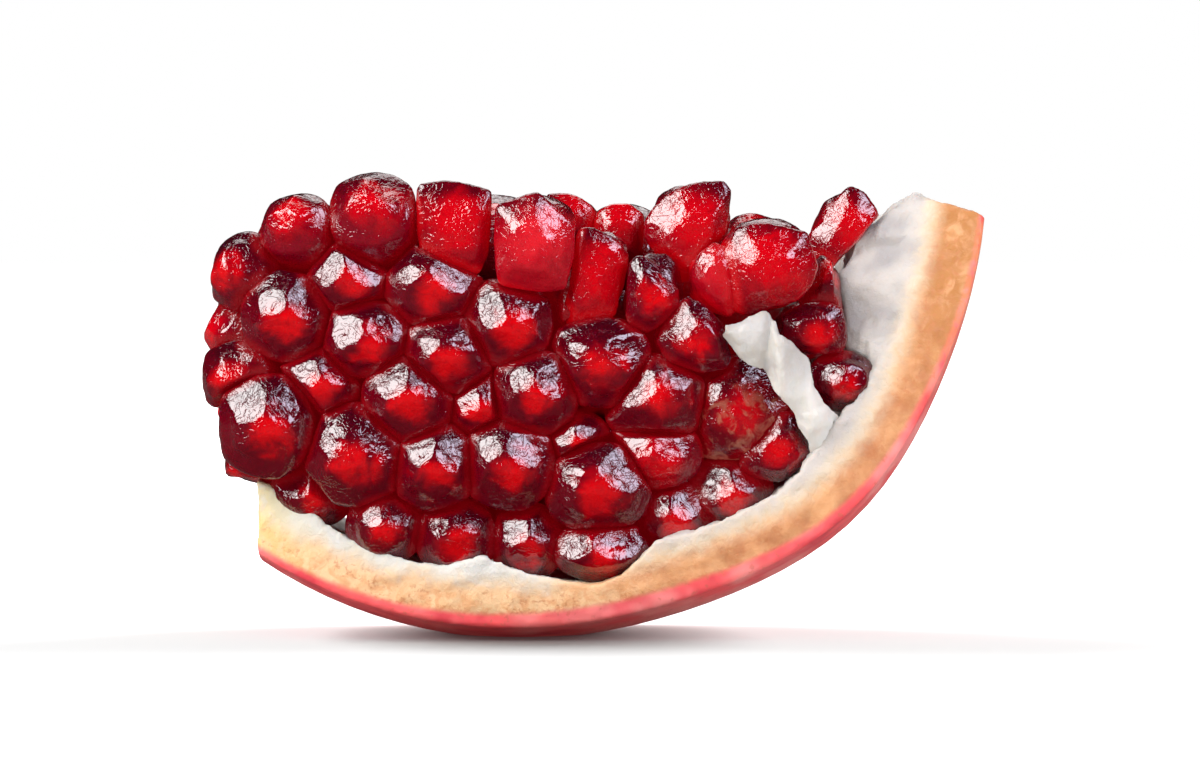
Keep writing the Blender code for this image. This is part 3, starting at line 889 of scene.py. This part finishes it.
    def build(self) -> None:
        """Builds and dresses every aril."""
        finishes = {clarity: clarity.value.make() for clarity in Clarity}
        arils = self.singles()
        for number, count in enumerate(self.back_rows, 1):
            arils += self.row(f"arils_back_row_{number}", count)
        arils += self.row("arils_core_row", self.core_row)
        pieces = [aril.build() for aril in arils]
        self.note_grooves(pieces)
        for aril, piece in zip(arils, pieces):
            piece.data.materials.append(finishes[aril.clarity])
            Bench.hand_over(piece, "aril", aril.node)


@dataclass(frozen=True)
class RindFinish:
    """Red skin over mottled orange flesh, which turns cream and then white towards the arils."""

    name: str = "pomegranate_rind"
    skin: Colour = (0.74, 0.085, 0.090)
    skin_dark: Colour = (0.56, 0.035, 0.055)
    skin_pale: Colour = (0.74, 0.24, 0.22)
    skin_warm: Colour = (0.60, 0.20, 0.07)
    freckle: Colour = (0.46, 0.10, 0.06)
    warm: Colour = (0.58, 0.27, 0.11)
    warm_dark: Colour = (0.37, 0.11, 0.03)
    amber: Colour = (0.38, 0.14, 0.025)
    orange: Colour = (0.64, 0.33, 0.15)
    orange_dark: Colour = (0.46, 0.17, 0.06)
    peach: Colour = (0.68, 0.43, 0.23)
    cream: Colour = (0.62, 0.48, 0.32)
    white: Colour = (0.54, 0.52, 0.48)
    pink_white: Colour = (0.47, 0.425, 0.39)
    grey_white: Colour = (0.32, 0.295, 0.285)
    yellow: Colour = (0.64, 0.49, 0.17)

    def make(self) -> bpy.types.Material:
        """Makes the material.

        Returns:
            The material, which reads the marks under_skin, in mm, top_end, left_end and right_end.
        """
        recipe = Recipe(self.name)
        under = recipe.mark("under_skin")
        broad = recipe.noise(5.5, 2.0, 0.8)
        mottle = recipe.noise(1.5, 3.0, 0.9)
        speck = recipe.noise(0.7, 3.0, 0.4)
        level = under + (broad - 0.5) * 2.6 + (mottle - 0.5) * 1.8
        flesh = recipe.blend(mottle.step(0.40, 0.62), self.peach, self.orange)
        right, top = recipe.mark("right_end"), recipe.mark("top_end")
        patches = recipe.noise(2.4, 3.0, 0.2)
        warm = recipe.blend((broad * 0.5 + patches * 0.5).step(0.38, 0.64), self.warm, self.warm_dark)
        warm = recipe.blend(top * mottle.step(0.3, 0.6), warm, self.amber)
        flesh = recipe.blend(right * 0.85, flesh, warm)
        spots = recipe.noise(0.55, 2.0, 0.3).step(0.52, 0.68) * broad.step(0.40, 0.55)
        flesh = recipe.blend(spots * 0.7, flesh, self.orange_dark)
        level = level - right * (broad - 0.5) * 2.5 - top * 1.6
        flesh = recipe.blend(level.step(2.0, 4.6), flesh, self.cream)
        cloudy = recipe.noise(4.0, 1.0, 0.3).step(0.30, 0.70) * top
        white = recipe.blend(cloudy, self.pink_white, self.grey_white)
        white = recipe.blend(right, self.white, white)
        flesh = recipe.blend((level + (1 - right) * 0.5).step(3.2, 5.8), flesh, white)
        tint = recipe.mark("left_end") * mottle.step(0.2, 0.6)
        flesh = recipe.blend(tint * 0.6, flesh, self.yellow)
        band = recipe.noise(2.6, 3.0, 0.1, recipe.place((0.4, 1.0, 0.4)))
        skin = recipe.blend(band.step(0.42, 0.66) * 0.8, self.skin, self.skin_dark)
        cloud = recipe.noise(6.0, 2.0, 0.1)
        skin = recipe.blend(cloud.step(0.38, 0.68) * (right * 0.4 + 0.5), skin, self.skin_pale)
        freckles = recipe.noise(0.8, 2.0).step(0.60, 0.70)
        skin = recipe.blend(freckles * 0.5, skin, self.freckle)
        skin = recipe.blend(top * mottle.step(0.25, 0.6) * 0.8, skin, self.skin_warm)
        edge = under + (speck - 0.5) * 0.25
        colour = recipe.blend(edge.step(0.15, 0.95), skin, flesh)
        torn = under.step(0.3, 0.8)
        fibre = recipe.noise(0.5, 4.0, 0.8)
        surface = recipe.bump(fibre * torn, 0.16, 0.8)
        pores = recipe.noise(0.9, 3.0, 0.2)
        surface = recipe.bump(pores * (1 - torn), 0.08, 0.6, surface)
        return recipe.dress(
            Base_Color=colour,
            Roughness=torn * 0.22 + 0.36 + (mottle - 0.5) * 0.1,
            Normal=surface,
            Subsurface_Weight=0.25,
            Subsurface_Radius=(1.0, 0.5, 0.3),
            Subsurface_Scale=1.5 * MM,
            Specular_IOR_Level=0.45,
            # Painted glow: the skin gives off a faint light of its own colour, which lifts it where it
            # faces down into shade.
            Emission_Color=recipe.dim(skin, 1 - torn),
            Emission_Strength=0.10,
            Coat_Weight=(1 - torn) * 0.15,
            Coat_Roughness=0.25,
        )


@dataclass
class Rind:
    """The curved piece of rind, broken open all round.

    A zone is where the rind is worked: its name, how far under the skin it starts, and over what depth
    it grows in, in mm. An end is its name, the axis that it starts along, where, and over what length.
    """

    fruit_centre: Triple = (0.0, 0.0, 48.7 * MM)
    fruit_radius: float = 49.3 * MM
    bulge: float = 1.6 * MM
    bulge_angle: float = math.radians(44)
    bulge_spread: float = math.radians(17)
    grain: float = 0.36
    rounding: int = 3
    zones: tuple[tuple[str, float, float], ...] = (
        ("torn", 0.25, 0.8),
        ("pith", 5.5, 2.0),
        ("rim", 5.5, 1.5),
    )
    rim_top: float = 32 * MM
    lumps: tuple[Lumps, ...] = (
        Lumps("rind_tears", 2.4, 0.6, "torn"),
        Lumps("rind_fibres", 0.9, 0.3, "torn"),
        Lumps("rind_dimples", 4.5, 2.2, "pith"),
        Lumps("rind_rags", 1.3, 0.8, "rim"),
    )
    blush_angle: float = 14.0
    blush_spread: float = 36.0
    blush_depth: float = 0.9
    ends: tuple[tuple[str, int, float, float], ...] = (
        ("top_end", 2, 22.0, 14.0),
        ("left_end", 0, -21.0, -6.0),
        ("right_end", 0, 6.0, 9.0),
    )

    def under_skin(self, places: np.ndarray) -> np.ndarray:
        """How far places lie below the fruit's skin.

        Args:
            places: the places.

        Returns:
            How far, in millimetres.
        """
        off = places - np.array(self.fruit_centre)
        angle = np.arctan2(off[:, 0], -off[:, 2])
        hump = np.exp(-(((angle - self.bulge_angle) / self.bulge_spread) ** 2))
        return (self.fruit_radius + self.bulge * hump - np.linalg.norm(off, axis=1)) / MM

    def build(self, finish: bpy.types.Material) -> bpy.types.Object:
        """Makes and dresses the rind.

        Args:
            finish: its material.

        Returns:
            The piece.
        """
        obj = Bench.copy_of("rind", "rind_wall")
        Bench.even_out(obj, self.grain)
        Bench.soften(obj, self.rounding)
        places = Bench.points(obj)
        under = self.under_skin(places)
        for name, start, span in self.zones:
            kept = places[:, 2] < self.rim_top if name == "rim" else 1
            Bench.weigh(obj, name, np.clip((under - start) / span, 0, 1) * kept)
        for lumps in self.lumps:
            Bench.roughen(obj, lumps)
        places = Bench.points(obj)
        off = places - np.array(self.fruit_centre)
        angle = np.degrees(np.arctan2(off[:, 0], -off[:, 2]))
        blush = np.exp(-(((angle - self.blush_angle) / self.blush_spread) ** 2))
        Bench.note(obj, "under_skin", self.under_skin(places) - self.blush_depth * blush)
        for name, axis, start, span in self.ends:
            Bench.note(obj, name, np.clip((places[:, axis] - start * MM) / (span * MM), 0, 1))
        obj.data.materials.append(finish)
        Bench.hand_over(obj, "rind", "rind")
        return obj


@dataclass(frozen=True)
class SeptumFinish:
    """Creamy, slightly waxy membrane."""

    name: str = "septum_membrane"
    cream: Colour = (0.40, 0.37, 0.335)
    white: Colour = (0.42, 0.40, 0.38)
    # Painted light: the colour of the flap's lower part, painted whiter where it lies in shade.
    root: Colour = (0.58, 0.55, 0.51)

    def make(self) -> bpy.types.Material:
        """Makes the material.

        Returns:
            The material, cream with whiter folds, and painted whiter towards the bottom, where it runs
            into the rind and lies in shade, by a mark that grows downwards.
        """
        recipe = Recipe(self.name)
        fold = recipe.noise(2.4, 3.0, 0.6)
        grain = recipe.noise(0.5, 3.0, 0.6)
        colour = recipe.blend(fold.step(0.35, 0.65), self.cream, self.white)
        # Painted light: the flap is painted whiter towards its bottom, where it lies in shade.
        colour = recipe.blend(recipe.mark("root_share").step(0.3, 0.7), colour, self.root)
        surface = recipe.bump(grain, 0.15, 0.6)
        return recipe.dress(
            Base_Color=colour,
            Roughness=grain * 0.2 + 0.35,
            Normal=surface,
            Subsurface_Weight=0.35,
            Subsurface_Radius=(1.0, 0.6, 0.4),
            Subsurface_Scale=1.2 * MM,
        )


@dataclass
class SeptumFlap:
    """The torn flap of membrane that stands in front of the right-hand arils and runs into the rind.

    Its edges are in shares of its node's box, and so is its lean, which is how far back it lies. A
    crease is where it crosses the flap, how wide it is and how high, over crease. The rest is in mm.
    """

    upper_edge: tuple[tuple[float, float], ...] = (
        (-0.04, 0.90), (0.15, 0.97), (0.33, 1.03), (0.44, 0.94), (0.46, 0.84), (0.59, 0.75),
        (0.73, 0.62), (0.78, 0.38), (0.90, 0.22), (1.02, 0.14), (1.15, -0.01),
    )
    lower_edge: tuple[tuple[float, float], ...] = (
        (-0.05, 0.86), (0.06, 0.72), (0.19, 0.59), (0.31, 0.55), (0.38, 0.50), (0.43, 0.38),
        (0.52, 0.26), (0.65, 0.10), (0.74, -0.07), (0.76, -0.21), (0.70, -0.38),
    )
    thickness: float = 0.7
    bow: float = 1.2
    crease: float = 1.1
    creases: tuple[Triple, ...] = ((0.30, 0.05, -0.8), (0.48, 0.06, 1.0), (0.66, 0.05, -0.5))
    crease_slant: float = 0.07
    lean: tuple[tuple[float, float], ...] = ((0.0, 0.25), (0.5, 0.35), (0.8, 0.60), (1.0, 1.20))
    along: int = 60
    across: int = 16
    grain: float = 0.2
    rounding: int = 4
    lumps: tuple[Lumps, ...] = (Lumps("septum_folds", 2.9, 0.8), Lumps("septum_creases", 1.1, 0.13))

    def build(self, finish: bpy.types.Material) -> bpy.types.Object:
        """Makes and dresses the flap.

        Args:
            finish: its material.

        Returns:
            The piece.
        """
        Bench.drop()
        bpy.ops.mesh.primitive_grid_add(x_subdivisions=self.along, y_subdivisions=self.across, size=2)
        obj = bpy.context.object
        obj.name = "septum_fold"
        grid = Bench.points(obj)
        Bench.move(obj, self.sheet((grid[:, 0] + 1) / 2, grid[:, 1]))
        Bench.work(obj, "SOLIDIFY", thickness=self.thickness * MM, offset=0.0)
        Bench.even_out(obj, self.grain)
        Bench.soften(obj, self.rounding)
        for lumps in self.lumps:
            Bench.roughen(obj, lumps)
        low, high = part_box("septum_flap")
        # Painted light: a share that grows towards the flap's bottom, where its finish is painted whiter.
        Bench.note(obj, "root_share", (high.z - Bench.points(obj)[:, 2]) / (high.z - low.z))
        obj.data.materials.append(finish)
        Bench.hand_over(obj, "septum", "septum_flap")
        return obj

    def sheet(self, share: np.ndarray, side: np.ndarray) -> np.ndarray:
        """Places on the flap's sheet.

        Args:
            share: how far along the flap each place is, from 0 at the torn tip to 1 in the rind.
            side: how far across it is, from -1 at the lower edge to 1 at the torn upper edge.

        Returns:
            The places, in metres.
        """
        stops = np.linspace(0, 1, len(self.upper_edge))
        edges = []
        for edge in (self.lower_edge, self.upper_edge):
            path = np.array(edge)
            edges.append([np.interp(share, stops, path[:, axis]) for axis in range(2)])
        lower, upper = np.array(edges)
        across = lower + (upper - lower) * (side + 1) / 2
        back = np.interp(share, *zip(*self.lean))
        places = Bench.in_box("septum_flap", np.stack((across[0], back, across[1]), axis=1))
        fold = self.bow * (1 - side**2)
        turned = share + side * self.crease_slant
        for stop, width, height in self.creases:
            fold += self.crease * height * np.exp(-(((turned - stop) / width) ** 2))
        places[:, 1] -= fold * MM
        return places


class Lit(Enum):
    """What a lamp lights, as how its light treats the floor."""

    FRUIT = "EXCLUDE"
    FLOOR = "INCLUDE"


@dataclass
class Softbox:
    """A square studio lamp, placed by the way it lies from the fruit."""

    name: str
    away: Triple
    side: float
    radiance: float
    tint: Colour = WHITE
    mirrored: bool = True
    lit: Lit = Lit.FRUIT
    distance: float = 0.9

    def build(self, target: Vector, floor: bpy.types.Object) -> None:
        """Hangs the lamp, out of the camera's sight, with its power worked out from its radiance.

        Args:
            target: the place that it faces.
            floor: the studio floor, which it either leaves out or is kept to.
        """
        lamp = bpy.data.lights.new(self.name, "AREA")
        lamp.shape = "SQUARE"
        lamp.size = self.side
        lamp.energy = self.radiance * math.pi * self.side**2
        lamp.color = self.tint
        obj = bpy.data.objects.new(self.name, lamp)
        bpy.context.scene.collection.objects.link(obj)
        away = Vector(self.away).normalized()
        obj.location = target + away * self.distance
        obj.rotation_mode = "QUATERNION"
        obj.rotation_quaternion = (-away).to_track_quat("-Z", "Y")
        obj.visible_camera = False
        obj.visible_glossy = self.mirrored
        linked = bpy.data.collections.new(self.name + "_lit")
        linked.objects.link(floor)
        linked.collection_objects[0].light_linking.link_state = self.lit.value
        obj.light_linking.receiver_collection = linked


@dataclass
class Studio:
    """A plain white floor in soft light, and the camera."""

    target: Triple = (8.4 * MM, -7.0 * MM, 26.36 * MM)
    view_width: float = 126 * MM
    lens: float = 200.0
    sensor: float = 36.0
    elevation: float = math.radians(1.8)
    floor_side: float = 6.0
    floor_grey: Colour = (0.36, 0.36, 0.36)
    floor_mirrored: Colour = (0.02, 0.02, 0.02)
    glow_from: float = 60.0
    glow_full: float = 150.0
    glow: float = 0.95
    glow_everywhere: float = 0.02
    ambient: float = 0.62
    reflected: float = 0.01

    def build(self) -> None:
        """Sets up the floor, the surroundings, the lamps and the camera."""
        floor = self.floor()
        self.surroundings()
        target = Vector(self.target)
        lamps = [
            Softbox("softbox_left", (-0.66, -0.45, 0.60), 0.56, 10.0),
            Softbox("softbox_right", (0.66, -0.34, 0.66), 0.40, 8.0, (0.80, 0.80, 1.0)),
            Softbox("softbox_front", (0.2, -1.0, 0.1), 1.0, 1.15, mirrored=False),
            Softbox("softbox_back", (0.0, 0.62, 0.78), 0.6, 2.6),
        ]
        for side, x in (("left", -0.80), ("right", 0.80)):
            away = (x, 0.48, 0.41)
            lamps.append(Softbox("softbox_floor_" + side, away, 0.6, 36.0, mirrored=False, lit=Lit.FLOOR))
        for lamp in lamps:
            lamp.build(target, floor)
        self.camera(target)

    def floor(self) -> bpy.types.Object:
        """Lays the floor, which is staged and no part of the fruit.

        Returns:
            The floor.
        """
        bpy.ops.mesh.primitive_plane_add(size=self.floor_side, location=(0, 0, 0))
        plane = bpy.context.object
        plane.name = "studio_floor"
        recipe = Recipe("studio_white")
        away = recipe.node("ShaderNodeVectorMath", {"operation": "LENGTH"}, {0: recipe.place()}, "Value")
        mirrored = recipe.rays("Is Glossy Ray")
        glow = away.step(self.glow_from, self.glow_full) * self.glow + self.glow_everywhere
        plane.data.materials.append(
            recipe.dress(
                Base_Color=recipe.blend(mirrored, self.floor_grey, self.floor_mirrored),
                Roughness=1.0,
                Specular_IOR_Level=0.0,
                Emission_Color=recipe.dim(WHITE, glow * (1 - mirrored)),
                Emission_Strength=1.0,
            )
        )
        return plane

    def surroundings(self) -> None:
        """Makes the room white to look at and to be lit by, and dim in reflections."""
        recipe = Recipe("studio_room", "Background")
        mirrored, seen = recipe.rays("Is Glossy Ray"), recipe.rays("Is Camera Ray")
        light = recipe.node("ShaderNodeMix", {}, {0: mirrored, 2: self.ambient, 3: self.reflected})
        strength = recipe.node("ShaderNodeMix", {}, {0: seen, 2: light, 3: 1.0})
        bpy.context.scene.world = recipe.dress(Color=WHITE, Strength=strength)

    def camera(self, target: Vector) -> None:
        """Puts the camera nearly level with the fruit, far enough off for a long lens.

        Args:
            target: the place that it faces.
        """
        data = bpy.data.cameras.new("camera")
        data.lens = self.lens
        data.sensor_width = self.sensor
        data.clip_start = 0.01
        obj = bpy.data.objects.new("camera", data)
        bpy.context.scene.collection.objects.link(obj)
        away = Vector((0, -math.cos(self.elevation), math.sin(self.elevation)))
        obj.location = target + away * (self.view_width * self.lens / self.sensor)
        obj.rotation_mode = "QUATERNION"
        obj.rotation_quaternion = (-away).to_track_quat("-Z", "Y")
        scene = bpy.context.scene
        scene.camera = obj
        scene.view_settings.view_transform = "Standard"


def main() -> None:
    """Builds the fruit and its studio."""
    logging.basicConfig(level=logging.INFO, format="%(message)s")
    Studio().build()
    Rind().build(RindFinish().make())
    SeptumFlap().build(SeptumFinish().make())
    ArilMass().build()


if __name__ == "__main__":
    main()
